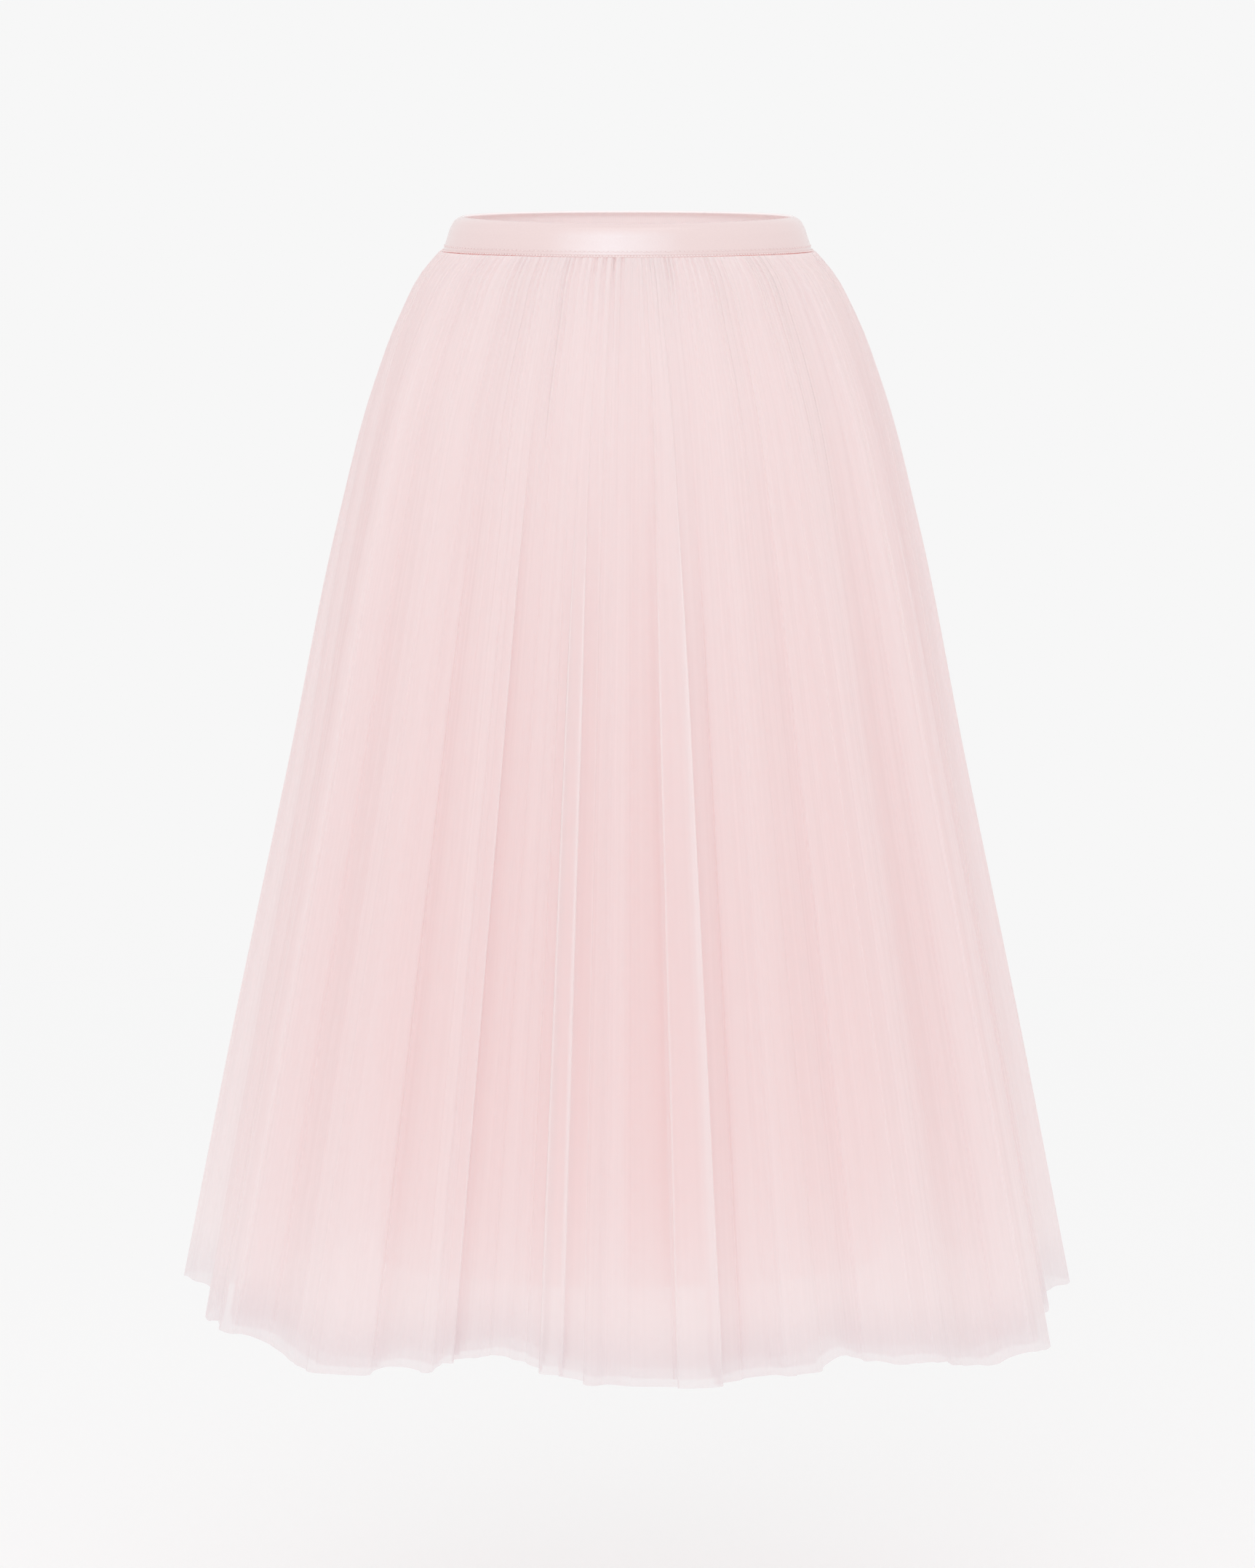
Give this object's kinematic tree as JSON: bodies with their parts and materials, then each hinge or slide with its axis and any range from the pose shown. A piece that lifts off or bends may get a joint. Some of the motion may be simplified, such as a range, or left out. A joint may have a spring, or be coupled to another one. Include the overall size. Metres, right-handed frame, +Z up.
{
  "type": "tulle skirt",
  "caption": "Midi skirt of gathered tulle layers over a lining, on a plain satin elastic waistband, filled out as worn and open at waist and hem.",
  "frame": {"origin": "middle of the waist opening, half way up the waistband, where the wearer's waist holds the skirt", "axes": "+Z up along the body, -Y the front of the skirt, +X to the viewer's right seen from the front"},
  "size_m": [0.624, 0.486, 0.7664],
  "materials": {
    "satin_elastic": "satin faced elastic, soft gloss",
    "tulle_outer": "soft sheer tulle net",
    "tulle_under": "soft sheer tulle net",
    "lining": "plain matt woven lining"
  },
  "bodies": {
    "root": {"waistband": "satin_elastic", "tulle_outer": "tulle_outer", "tulle_middle": "tulle_under", "tulle_inner": "tulle_under", "lining": "lining"}
  },
  "joints": []
}
